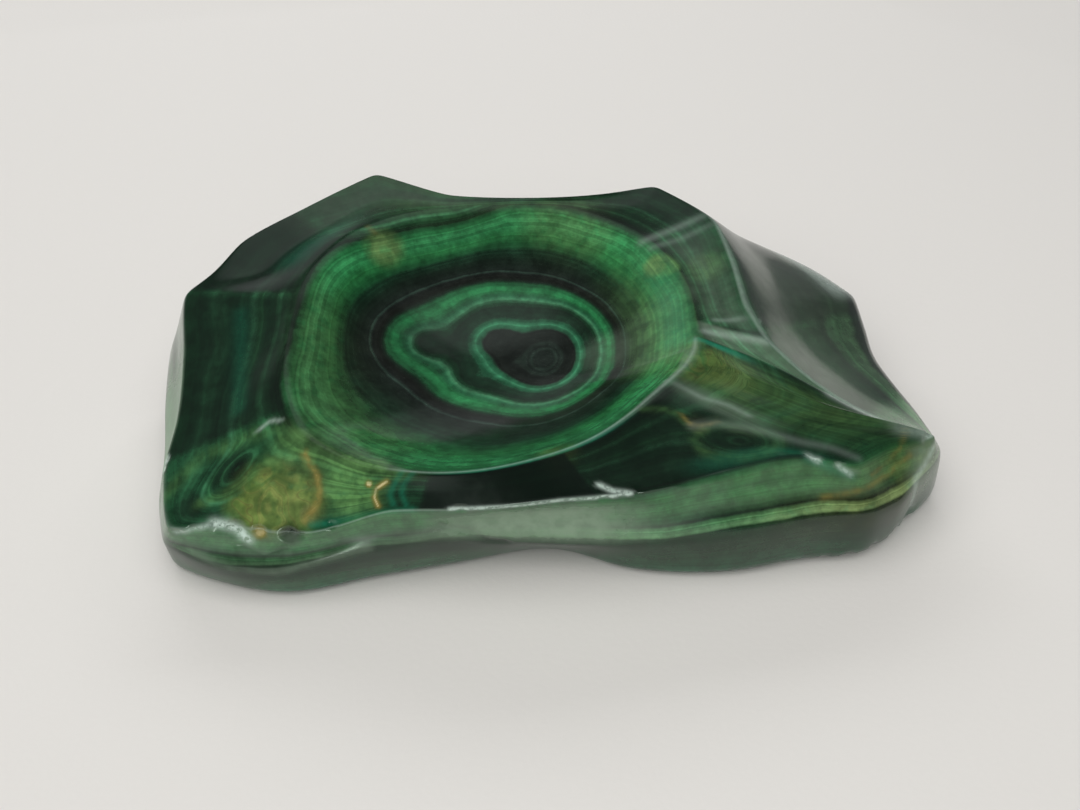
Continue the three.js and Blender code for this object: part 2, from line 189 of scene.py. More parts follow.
@dataclass
class Skin:
    """The fine surface: points in columns that run from the dish's middle out and in under the stone.

    A soft rim rolls over from lip_start, a share of the way out. The facets meet softer at the foot, by
    foot_rounding. Rows crowd together where the surface turns, and the polish starts at polish_start.
    """

    dish_centre: Pair = (-12.0, 2.0)
    dish_floor: float = 16.0
    dish_steepness: float = 2.3
    lip_start: float = 0.7
    foot_rounding: float = 0.7
    underside_inset: float = 0.5
    column_width: float = 0.66
    dish_rings: int = 52
    ring_crowding: float = 0.85
    span_steps: tuple[int, ...] = (18, 20, 13, 12, 13, 3)
    span_crowding: float = 0.6
    polish_passes: int = 5
    polish_start: float = 0.9
    points: Array = field(init=False)
    out: Array = field(init=False)
    round: Array = field(init=False)

    def rings(self) -> tuple[Array, Array]:
        """Works out the six rings outside the dish.

        Returns:
            Their points, and how sharp each point is.
        """
        rim, edge, waist = np.array([(s.rim, s.edge, s.waist) for s in STATIONS]).swapaxes(0, 1)
        on_top, on_side = np.array([s.ridge for s in STATIONS]).T
        hollow = np.array([[*s.bow, -s.hollow] for s in STATIONS])
        ground = waist * (1.0, 1.0, 0.0)
        inward = np.array([*self.dish_centre, 0.0]) - ground
        inward /= np.linalg.norm(inward, axis=1, keepdims=True)
        dent = np.array([[s.dent] for s in STATIONS])
        tuck = np.array([[s.tuck] for s in STATIONS])
        points = np.array([
            rim, (rim + edge) / 2 + hollow, edge,
            (edge + waist) / 2 + inward * dent, waist, ground + inward * tuck,
        ])
        sharp = np.array([
            on_top * 0, on_top, np.maximum(on_top, on_side),
            on_side, on_side, on_side * self.foot_rounding,
        ])
        return points, sharp

    def columns(self) -> tuple[Array, Array]:
        """Spreads the columns evenly round the stone.

        Returns:
            For each column, the station it follows and its share of the way to the next one.
        """
        stations, shares = [], []
        for i, here in enumerate(STATIONS):
            gap = math.dist(here.edge, STATIONS[(i + 1) % len(STATIONS)].edge)
            count = max(2, round(gap / self.column_width))
            stations += [i] * count
            shares += [k / count for k in range(count)]
        return np.array(stations), np.array(shares)

    def rise(self, out: Array, crisp: Array) -> Array:
        """How far up the dish's side is.

        Args:
            out: Share of the way out to the rim.
            crisp: How crisp the rim is. Where it isn't, a lip rolls over level.

        Returns:
            The share of the dish's depth.
        """
        bowl = out ** self.dish_steepness
        width = 1 - self.lip_start
        t = np.clip((out - self.lip_start) / width, 0, 1)
        start = self.lip_start ** self.dish_steepness
        slope = self.dish_steepness * self.lip_start ** (self.dish_steepness - 1) * width
        rolled = start + slope * (t - 2 * t ** 2 + t ** 3) + (1 - start) * (3 * t ** 2 - 2 * t ** 3)
        return np.where(out > self.lip_start, mix(rolled, bowl, crisp), bowl)

    def lay(self) -> None:
        """Lays the points out, and notes how far out and how far round each one is."""
        points, sharp = self.rings()
        into, out = tangents(points, sharp, closed=True)
        station, share = self.columns()
        after = (station + 1) % len(STATIONS)
        t = share[None, :, None]
        across = hermite(points[:, station], out[:, station], points[:, after], into[:, after], t)
        crisps = np.array([s.crisp for s in STATIONS])
        crisp = mix(crisps[station], crisps[after], share[:, None])

        shares = (np.arange(1, self.dish_rings + 1) / (self.dish_rings + 1)) ** self.ring_crowding
        middle = np.array([*self.dish_centre, self.dish_floor])
        rim = across[0][:, None, :]
        dish = middle + (rim - middle) * shares[None, :, None]
        lift = self.rise(shares[None, :], crisp[:, :1])
        dish[..., 2] = mix(self.dish_floor, rim[..., 2], lift)

        foot = across[-1]
        under = mix(foot, np.array([*self.dish_centre, 0.0]), self.underside_inset)
        profile = np.stack([*across, under], axis=1)
        one, nought = np.ones(len(share)), np.zeros(len(share))
        keen = np.stack([one, nought, crisp[:, 1], nought, crisp[:, 2], one, one], axis=1)
        into, out = tangents(profile, keen, closed=False)
        levels = [ring.value for ring in Ring]
        rows, outs = [dish], [shares]
        for k, steps in enumerate(self.span_steps):
            even = np.arange(steps) / steps
            eased = mix(even, 0.5 - 0.5 * np.cos(math.pi * even), self.span_crowding)
            a, b = profile[:, k, None, :], profile[:, k + 1, None, :]
            rows.append(hermite(a, out[:, k, None, :], b, into[:, k + 1, None, :], eased[None, :, None]))
            outs.append(mix(levels[k], levels[k + 1], eased))
        rows.append(under[:, None, :])
        outs.append(np.array([Ring.UNDER.value]))
        self.points = np.concatenate(rows, axis=1)
        self.out = np.broadcast_to(np.concatenate(outs)[None, :], self.points.shape[:2]).copy()
        self.round = np.broadcast_to((station + share)[:, None], self.points.shape[:2]).copy()

    def polish(self) -> None:
        """Rounds every ridge a little, as lapping leaves it. The underside stays flat."""
        crease = self.out[0] > self.polish_start
        last = int(np.argmax(self.out[0] >= Ring.FOOT.value)) + 1
        for _ in range(self.polish_passes):
            p = self.points
            along = (np.roll(p, 1, axis=0) + 2 * p + np.roll(p, -1, axis=0)) / 4
            across = along.copy()
            across[:, 1:-1] = (along[:, :-2] + 2 * along[:, 1:-1] + along[:, 2:]) / 4
            p[:, crease] = across[:, crease]
            p[:, last:, 2] = 0.0
            np.clip(p[..., 2], 0.0, None, out=p[..., 2])

    def normals(self) -> Array:
        """Works out which way the surface faces.

        Returns:
            The outward unit normal at every point of the columns.
        """
        along = np.roll(self.points, -1, axis=0) - np.roll(self.points, 1, axis=0)
        across = np.gradient(self.points, axis=1)
        normal = np.cross(across, along)
        return normal / np.maximum(np.linalg.norm(normal, axis=-1, keepdims=True), TINY)


# The layers of the ore
class Mark(Enum):
    """What the finish is told about each point of the skin: its layer, what covers it, and its grain."""

    GROWTH = "growth"
    OLIVE = "olive"
    LIGHT = "light"
    STAIN = "stain"
    # the ore's dark bands and cracks, and painted shade on facets that mirror the dim room and on the low
    # walls by the foot
    DARK = "dark"
    TEAL = "teal"
    PALE = "pale"
    # painted sheen: pale veils where the polish would mirror the bright room
    VEIN = "vein"
    # painted highlights along the rims, ridges and edges, and the pale bruises of chips
    WEAR = "wear"
    GRAIN = "grain"


@dataclass(frozen=True)
class Lobe:
    """A centre that the layers grew round: an ellipse in plan that begins at a layer of its own."""

    at: Pair
    first: float
    wide: float = 1.0
    deep: float = 1.0
    turn: float = 0.0

    def layer(self, x: Array, y: Array) -> Array:
        """Works out the layer that this lobe alone would give.

        Args:
            x: Where points lie in plan, from left to right.
            y: Where they lie from front to back.

        Returns:
            The layer at each point.
        """
        c, s = math.cos(math.radians(self.turn)), math.sin(math.radians(self.turn))
        dx, dy = x - self.at[0], y - self.at[1]
        return self.first + np.hypot((dx * c + dy * s) / self.wide, (dy * c - dx * s) / self.deep)


@dataclass(frozen=True)
class Patch:
    """A place on the skin where a mark is strong. From its core out to its radius it fades."""

    at: Point
    radius: float
    strength: float = 1.0
    core: float = 0.35

    def weight(self, skin: Skin) -> Array:
        """Returns the mark's strength at the skin's points."""
        far = np.linalg.norm(skin.points - np.array(self.at), axis=-1)
        return self.strength * (1.0 - smoothstep(self.core * self.radius, self.radius, far))


@dataclass(frozen=True)
class Arc:
    """A stretch of the skin, told by stations round it (first, last) and by rings across it (inner, outer).

    Its ends fade over soft, in stations, and its long sides over border, in rings.
    """

    first: float
    last: float
    inner: float
    outer: float
    strength: float = 1.0
    soft: float = 0.35
    border: float = 0.08

    def weight(self, skin: Skin) -> Array:
        """Works out the mark's strength from how far round and how far out points are.

        Args:
            skin: The stone's skin.

        Returns:
            The strength at the skin's points.
        """
        count = len(STATIONS)
        middle = (self.first + self.last) / 2
        off = np.abs((skin.round - middle + count / 2) % count - count / 2)
        half = (self.last - self.first) / 2
        beside = 1.0 - smoothstep(half - self.soft / 2, half + self.soft / 2, off)
        within = smoothstep(self.inner - self.border, self.inner + self.border, skin.out)
        beyond = 1.0 - smoothstep(self.outer - self.border, self.outer + self.border, skin.out)
        return self.strength * beside * within * beyond


@dataclass(frozen=True)
class Vein:
    """A thin stained crack that wanders over the skin through a few points."""

    path: tuple[Point, ...]
    width: float
    strength: float = 1.0

    def weight(self, skin: Skin) -> Array:
        """Works out the vein's strength from how near points are to its path.

        Args:
            skin: The stone's skin.

        Returns:
            The strength at the skin's points.
        """
        points = skin.points
        nearest = np.full(points.shape[:-1], np.inf)
        for a, b in zip(self.path[:-1], self.path[1:]):
            start, step = np.array(a), np.array(b) - np.array(a)
            t = np.clip((points - start) @ step / (step @ step), 0, 1)
            nearest = np.minimum(nearest, np.linalg.norm(points - start - t[..., None] * step, axis=-1))
        return self.strength * np.exp(-(nearest / self.width) ** 2)


@dataclass(frozen=True)
class Nick:
    """A small shell-shaped chip out of an edge."""

    at: Point
    radius: float
    depth: float

    def weight(self, skin: Skin) -> Array:
        """Returns how deep the chip is at the skin's points."""
        far = np.linalg.norm(skin.points - np.array(self.at), axis=-1) / self.radius
        return self.depth * np.clip(1.0 - far ** 2, 0.0, 1.0)


Spots = tuple[Patch | Arc | Vein, ...]
# two cracks that are dark as well as open
NOTCH_CRACK = ((-19.5, -39.3, 14.2), (-12.8, -39, 11), (-11.4, -38.9, 9.7), (-8.3, -38.4, 8.9))
CORNER_CRACK = ((-53.8, -41.4, 11.1), (-50.3, -42.6, 9.5), (-46.4, -41.9, 11))


@dataclass
class Layers:
    """Which layer of the ore lies open at each point, in millimetres of growth from the heart of the dish.

    The layers grew round heart and eyes and run together over melt, and swells lift them. ring_layers are
    those at the rings 0 to 5, and the borders are rings between which one rule takes over from another.
    The lists from olive on are named for their marks; the dark one also paints shade, the pale one paints
    sheen, and the worn one paints highlights as well as chip bruises. facet_grain is across the facet and
    along it.
    """

    melt: float = 2.0
    ring_layers: tuple[float, ...] = (0, 42, 64, 84, 96, 130)
    dish_border: Pair = (0.5, 1.0)
    swell_border: Pair = (0.6, 1.0)
    eye_borders: tuple[Pair, ...] = ((1.02, 1.12), (1.85, 2.0))
    olive_facet: Arc = Arc(28.6, 34.6, 1.16, 2.02, 1, .8, .08)
    facet_grain: Pair = (0.35, 1.9)
    grain_per_mm: float = 0.13
    heart: tuple[Lobe, ...] = (
        Lobe((-1.5, 4.6), 0, .78, 1.02), Lobe((-10.5, 10.5), 5.4, 1.2, 1.2), Lobe((-7, 4.5), 5.6, 1.2, 1.2),
        Lobe((-25, 8.6), 11.4, 1.18, 1.18), Lobe((-15, 0), 11.6, 1.1, 1.1),
    )
    eyes: tuple[Lobe, ...] = (
        Lobe((-55.3, -31.2), 42, .72, .38, 43), Lobe((-44.2, -29.8), 48, .5, .3, 0),
        Lobe((32.6, -28.2), 45.2, 1.02, .34, -4),
    )
    swells: tuple[Patch, ...] = (
        Patch((-30, 36, 33), 24, 6), Patch((-52, 5, 29), 24, 2), Patch((-34, -32, 22), 16, 1.5),
    )
    olive: Spots = (
        Patch((-49.5, -36.8, 18), 9), Patch((-44.5, -37.2, 18), 7, .9), Patch((.5, -33.5, 26), 5, .35),
        Arc(29.9, 33.5, .98, 1.3, .5, 1.2, .16), Arc(30.6, 33.3, 1.2, 1.9, .24, 1.4, .2),
        Arc(30.1, 32.2, 2.05, 2.75, .35, .8, .14),
    )
    light: Spots = (
        Arc(19.6, 23, 1.01, 1.2, .75, 1, .1), Patch((-34.5, -36.5, 21), 8, .85),
        Patch((-31, -35.8, 23), 5, .8),
        Vein(((-69, -32.8, 15.1), (-62.9, -26.9, 18.8), (-53, -25.4, 22.8), (-47.5, -26, 24.4)), 1.6, .3),
        Vein(((-61.5, -36.5, 16.3), (-56, -35.3, 18), (-50, -31.2, 21), (-45.5, -31, 22.8)), .9, .4),
        Vein(((15.5, -24.3, 27.7), (19.2, -23.6, 27.2), (21.7, -24, 26.6), (23.6, -26.2, 25.4)), .6, .22),
        Vein(((26.1, -26.5, 24.9), (24.7, -28.2, 24), (25.9, -30, 23), (28.7, -30.9, 22.4),
              (33.7, -30.8, 22.4), (39, -29.2, 22.7), (39.9, -27.9, 23.7), (38.4, -27.1, 24.4),
              (33.8, -26.5, 25), (29.4, -25.8, 25.3), (26.1, -26.5, 24.9)), .9, .2),
        Arc(27, 30, 2.04, 2.6, .14, 1.6, .06), Arc(31, 38.5, .72, .985, .5, 3, .1),
        Patch((31.8, 16.9, 30.7), 5.5, .3), Patch((21.9, 19.4, 29.6), 4.4), Patch((24, 18, 30), 3.4, .8),
        Patch((-35.6, 27.2, 29.4), 5.5, .6), Arc(29.4, 33.6, 1.1, 1.9, .18, 1.2, .25),
        Arc(8.6, 11.8, .96, 1.5, .16, 1.4, .15),
    )
    stain: Spots = (
        Patch((-35.6, 27.2, 29.4), 5.5, .36), Patch((21.6, 19.6, 29.6), 3.4, .34),
        Patch((4, 34, 30), 14, .22), Patch((-46, -36.8, 18.5), 9, .35), Arc(15.5, 22, .62, 1, .22, 3, .12),
        Arc(27.8, 32, 2.6, 3.3, .72, 2.4, .14), Arc(28.6, 32, 2.05, 2.6, .3, 2, .1),
        Patch((33, -14.6, 27.6), 5, .25), Patch((-41.9, -38.9, 16.6), 2.6, .9),
        Patch((25.4, -25.6, 25.4), 2.6, .5),
    )
    # dark bands and cracks of the ore, and painted shade: on facets that mirror the dim room, the line along
    # the step under the dark facet, the creases, and the low walls by the foot
    dark: Spots = (
        Arc(23.3, 25.6, 1.03, 1.98, .98, .2, .03), Arc(22.6, 23.6, 1.05, 1.98, .6, .3, .03),
        Arc(19.2, 24.4, 2.62, 3, .62, 1, .1), Arc(24.2, 28.4, 1.03, 1.98, .84, 1.4, .04),
        Arc(27.8, 29.6, 1.1, 1.98, .7, 1, .06), Patch((32.4, -28.1, 23.8), 6, .86),
        Vein(((9, -38.1, 20.8), (15.6, -37.1, 20.8), (21.7, -35.3, 21), (28.9, -33, 21.5), (38, -30.9, 22.3),
              (45.5, -29.8, 21.9)), 1, .97),
        Patch((26, -24.7, 26), 2.8, .85),
        Vein(((29.6, -1.7, 29.4), (35, -2.6, 29.3), (39.5, -4.2, 29.2)), .7, .8),
        Patch((29.7, 7.3, 29.6), 3.6, .7), Arc(29.4, 34, 1.2, 2, .68, 1.2, .2),
        Arc(30.4, 33, 1.9, 2.3, .45, 1, .12), Arc(31.9, 33.9, 1.6, 2, .75, .8, .15),
        Arc(33.62, 34.05, 1.3, 1.95, .75, .3, .12), Arc(4.2, 7.4, 2.03, 3.8, .92, .7, .06),
        Arc(1.6, 4.4, 2.03, 3.6, .7, .7, .06), Arc(4.3, 7, 1.1, 1.85, .5, .8, .12),
        Arc(7, 8.8, 1, 2.1, .76, .8, .05), Arc(8.6, 13.4, 1.03, 1.25, .6, 1, .06),
        Arc(8.4, 11.6, 1, 2.1, .55, 1, .05), Arc(11.2, 13.2, 1, 2.1, .7, .8, .05),
        Arc(13, 16, 1.04, 2.1, .88, .6, .06), Arc(16, 18.95, 1.04, 2.1, .76, .3, .06),
        Arc(7.5, 17.5, 2.1, 4, .5, 1, .2), Patch((-56.3, -31.6, 19.4), 6.4, .55),
        Patch((-62.8, -36.8, 15.8), 4, .7), Arc(15, 27.5, .6, 1, .3, 4, .12),
        Patch((-25.5, 7, 17.5), 13, .38), Vein(NOTCH_CRACK, .45, .75),
        Vein(((-36.5, -41.5, 12.3), (-28.1, -40.7, 11.7), (-21.8, -40.1, 10.5), (-10.5, -39.2, 8.6)), .8, .7),
        Vein(CORNER_CRACK, .6, .55), Patch((-45.4, -41.1, 13.4), 2.8, .95),
        Arc(19.4, 24.6, 3.02, 3.4, .3, 1.2, .14), Arc(25.2, 30, 3, 4, .3, 1, .06),
        Arc(26.4, 31, 2.5, 2.74, .3, 1.2, .05),
    )
    teal: Spots = (
        Arc(33.62, 34.05, 1, 1.28, .75, .3, .12),
        Vein(((-25.6, -36.2, 24), (-27.2, -37.4, 21.7), (-27.8, -38.1, 20.3), (-27.3, -39, 19)), .55, .44),
        Vein(((-23.6, -36.4, 24.2), (-25.4, -37.4, 22.2), (-25.8, -38.1, 20.7), (-25, -39.3, 18.9)), .5, .4),
        # the first line here, teal along the front rim, is partly the ore's teal and partly a painted
        # highlight
        Arc(23.6, 26.6, .985, 1.04, .55, 1.2, .02), Arc(27, 28.6, 1.75, 1.95, .25, .9, .1),
        Arc(12.6, 14.6, 1.18, 1.45, .2, 1, .12), Arc(33.8, 38.6, .85, .98, .3, 1.5, .05),
        Vein(((-61.6, 5.5, 26.9), (-61, 1.7, 26.4), (-59.3, -8, 24.2), (-57.6, -18.2, 22.8)), 1.8, .15),
        Vein(((-41.5, -40.3, 15.3), (-38, -40.4, 16), (-32, -40.2, 17.6), (-24, -40, 18.4)), .7, .6),
        Vein(((44.5, -30.2, 21.4), (48.5, -30.8, 19.8), (53, -31.2, 18)), .9, .4),
    )
    # painted sheen: pale veils where the polish would mirror the bright room, and soft painted highlights on
    # the walls
    pale: Spots = (
        Arc(34.15, 36.05, 1.06, 2, .3, .3), Arc(19.3, 24.6, 2.04, 2.7, .24, 1, .08),
        Arc(19.3, 24.4, 3.4, 3.9, .12, 1, .2), Arc(23.7, 25.9, 2.22, 2.9, .98, 1.6, .16),
        Arc(26.4, 29.4, 2.05, 2.6, .2, 1.2, .1), Arc(25.4, 28.5, 3.05, 4, .06, 1, .1),
        Arc(36.2, 38.6, 1.15, 1.95, .17, 1.2, .2), Arc(31.5, 38, .76, .985, .1, 3, .1),
        Patch((11.5, 2.5, 18.5), 8, .17), Patch((31.5, 11, 30), 9, .14), Arc(10.6, 13.2, 1.2, 2.1, .1, 1, .2),
        Arc(2.2, 6.2, 2.12, 2.8, .12, 1.6, .2), Arc(28.9, 29.7, 1.05, 1.5, .25, .6, .14),
        Arc(16.8, 19.2, 2, 3.4, .84, 1, .03), Arc(30.6, 33.4, 2.08, 3.4, .42, 1, .12),
        Vein(((-64, -40.5, 9), (-56, -42.6, 7.4), (-48, -43.8, 7.3), (-40, -43, 9.4), (-32, -41.8, 10.8)),
             .9, .3),
    )
    vein: Spots = (
        Vein(((-43.1, -31.1, 23.4), (-40.6, -34.6, 21.2), (-40, -36.2, 19.4), (-40.8, -37.9, 17.4),
              (-42.6, -39.5, 15.7)), .8, .8),
        Vein(((-28.3, -36.9, 22.3), (-30.2, -37.3, 21), (-30.5, -38, 19.6), (-29.9, -38.9, 18.5)), .55),
        Patch((-31.4, -36.7, 21.6), 1),
        Vein(((22.6, -24.2, 26.4), (24, -25.8, 25.4), (26.5, -25.8, 25.2), (29, -24.9, 25.6)), .4, .55),
        Vein(((-39.2, 30.5, 32.5), (-37.6, 29.3, 31.6)), .7, .3),
        Vein(((47.4, -33.7, 15.4), (55, -32.1, 15.6), (60.8, -27.4, 15.1), (65.4, -23.9, 16.2)), .7, .55),
        Vein(((57, -29.6, 16.8), (60.4, -26.6, 16.8), (63.6, -23.5, 17.9), (64.6, -21.3, 20.2)), .5, .5),
        Patch((-50.7, -40.7, 13.8), 2, .85),
    )
    # painted highlights where the polished rims, ridges and edges would catch light, and pale bruises at the
    # chips
    wear: Spots = (
        Arc(20, 25, 1.985, 2.03, .22, 1, .02), Arc(22.5, 34, .99, 1.008, .26, 1, .012),
        Arc(2, 7.2, 1.98, 2.02, .3, .8, .025), Arc(31, 34.2, 1.96, 2.05, .45, .8, .03),
        Arc(5, 7.4, 2.84, 3.1, .4, .6, .06),
        Vein(((51, -15.8, 23.7), (56.5, -17.9, 21.8), (62.8, -20.6, 20.2), (69, -20.4, 18.6)), 1.2, .34),
        Vein(((24.3, -26, 25.3), (28.9, -25.5, 25.5), (33.9, -26.3, 25.2), (38.8, -27.1, 24.3),
              (43.8, -27.7, 23), (49.2, -27.6, 21.6), (54.1, -28.4, 19.8)), .8, .1),
        Vein(((20.3, -16.7, 28), (26.6, -20.7, 27.3), (31.3, -21.9, 26.6), (34.6, -23.8, 25.8)), .6, .15),
        Vein(((31.5, .4, 29.4), (40.2, .2, 29.4)), .7, .15),
        Vein(((29.1, -3, 29.2), (34.8, -4.4, 29.1), (40.6, -6, 28.8)), .8, .24),
        Vein(((19.2, 26.3, 31.2), (25.4, 29, 32.5), (33.9, 32.5, 34.1)), 1, .15),
        Vein(((20.8, 24.1, 31), (27, 26, 31.8), (34.6, 29, 33.8)), .8, .1),
        Vein(((70.8, -20.9, 15.4), (69, -23.3, 13.4), (66.8, -26, 12), (66.9, -26.9, 2.9)), .8, .4),
        Vein(((-52.6, -25, 23.2), (-50.3, -23.6, 24.4), (-48.2, -24.2, 24.9)), .4, .36),
        Vein(((-17.6, -40, 18.8), (-13.1, -40.1, 19.1), (-5.4, -39.6, 19.4), (1.2, -39.3, 20.1),
              (7.9, -38.6, 20.2), (13.2, -38, 20.4)), .38, 1),
        Vein(((7.6, -37.2, 21.9), (9.9, -37.8, 21), (13.2, -37.9, 20.6)), .42, .8),
        Vein(((-58.4, -39.7, 14.8), (-56, -40, 14.6), (-54.4, -40.4, 13.8), (-52.8, -41, 12.4)), .95, 1),
        Vein(((-65.6, -39.7, 12.4), (-62.9, -40.2, 13.6), (-59.5, -39.8, 14.6)), .55, .6),
        Vein(((44.8, -29.8, 21.8), (46.4, -30.3, 21)), .55, .85),
        Vein(((50.2, -30.4, 19.9), (51.4, -30.8, 19.1), (52.6, -31.1, 18.3)), .5, .6),
        Patch((-71.1, -26.1, 14.8), 1.4, .8), Patch((-70.7, -24.8, 16), 1.2, .7),
    )

    def growth(self, skin: Skin) -> Array:
        """Works out which layer lies open.

        Args:
            skin: The polished skin.

        Returns:
            The layer at the skin's points.
        """
        x, y, out = skin.points[..., 0], skin.points[..., 1], skin.out
        lobes = np.array([lobe.layer(x, y) for lobe in self.heart])
        inside = -self.melt * np.log(np.exp(-lobes / self.melt).sum(axis=0))
        outside = np.interp(out, range(len(self.ring_layers)), self.ring_layers)
        layer = mix(inside, outside, smoothstep(*self.dish_border, out))
        layer = layer + sum(swell.weight(skin) * smoothstep(*self.swell_border, out) for swell in self.swells)
        eye = np.min([lobe.layer(x, y) for lobe in self.eyes], axis=0)
        eyed = -self.melt * np.log(np.exp(-layer / self.melt) + np.exp(-eye / self.melt))
        begin, end = self.eye_borders
        return mix(layer, eyed, smoothstep(*begin, out) * (1.0 - smoothstep(*end, out)) * (y < 0))

    def marks(self, skin: Skin) -> dict[Mark, Array]:
        """Works out every mark at every point of the skin.

        Args:
            skin: The polished skin.

        Returns:
            The marks. Where several spots of one mark overlap, the strongest counts.
        """
        marks = {Mark.GROWTH: self.growth(skin)}
        for which in list(Mark)[1:-1]:  # all but growth and grain
            marks[which] = np.max([spot.weight(skin) for spot in getattr(self, which.value)], axis=0)
        # the olive facet's grain runs along it to the tip; elsewhere it has no direction
        across, along = self.facet_grain
        facet = np.stack([skin.out * across, skin.round * along, np.zeros_like(skin.out)], axis=-1)
        drawn_out = self.olive_facet.weight(skin)[..., None]
        marks[Mark.GRAIN] = mix(skin.points * self.grain_per_mm, facet, drawn_out)
        return marks


# Looks
Socket = bpy.types.NodeSocket
Span = tuple[float, float, float, float]
Stops = tuple[tuple[float, str], ...]


def linear(code: str) -> Colour:
    """Turns an sRGB hex colour, such as 1f7a45, to the linear colour that nodes take."""
    parts = (int(code[i:i + 2], 16) / 255 for i in (0, 2, 4))
    return (*(p / 12.92 if p <= 0.04045 else ((p + 0.055) / 1.055) ** 2.4 for p in parts), 1.0)


def add(tree: bpy.types.NodeTree, kind: str, inputs: dict | tuple = (), out: int | str = 0,
        stops: Stops = (), **settings: object) -> Socket:
    """Adds a node with its settings and links.

    Args:
        tree: The tree that it goes into.
        kind: The node's type, without the leading ShaderNode. After a colon, its operation.
        inputs: Values or sockets for its inputs, in order, or by name or number.
        out: Which output is wanted.
        stops: Places and hex colours, for a colour ramp. A ramp takes 32 at most.
        settings: The node's own settings.

    Returns:
        The output asked for.
    """
    kind, _, operation = kind.partition(":")
    made = tree.nodes.new("ShaderNode" + kind)
    if operation:
        made.operation = operation
    for name, value in settings.items():
        setattr(made, name, value)
    for place, value in inputs.items() if isinstance(inputs, dict) else enumerate(inputs):
        if isinstance(value, Socket):
            tree.links.new(value, made.inputs[place])
        else:
            made.inputs[place].default_value = value
    if stops:
        elements = made.color_ramp.elements
        while len(elements) < len(stops):
            elements.new(1.0)
        for element, (place, code) in zip(elements, stops):
            element.position = place
            element.color = linear(code)
    return made.outputs[out]


def new_material(name: str) -> tuple[bpy.types.Material, bpy.types.NodeTree, Socket]:
    """Makes a node material that has no shader yet.

    Args:
        name: What it is called.

    Returns:
        The material, its tree, and the socket for the shader.
    """
    material = bpy.data.materials.new(name)
    material.use_nodes = True
    tree = material.node_tree
    tree.nodes.clear()
    return material, tree, tree.nodes.new("ShaderNodeOutputMaterial").inputs["Surface"]


class Noise(Enum):
    """The noises that break up the ore: swings per millimetre, finer swings and their strength.

    Where one weakens and strengthens something, two of its values and the factors for them come last.
    """

    WANDER = (.07, 2, .5, ())
    RIPPLE = (.45, 2, .6, (.35, .55, .45, 1))
    MOTTLE = (1.1, 3, .65, (.3, .7, .84, 1.16))
    CLOUD = (.12, 2, .5, (.3, .7, .86, 1.14))
    BLOTCH = (.35, 3, .6, (.3, .5, .5, 1))
    SWELL = (.16, 1, .4, ())
    GRIT = (2.2, 2, .6, ())
    # these follow the grain mark, which grows by 1 in some 8 mm
    HILLS = (1, 2, .45, ())
    FIBRE = (2.4, 3, .6, (.38, .62, .74, 1.28))
    STREAK = (3.2, 2, .55, (.35, .65, .72, 1))


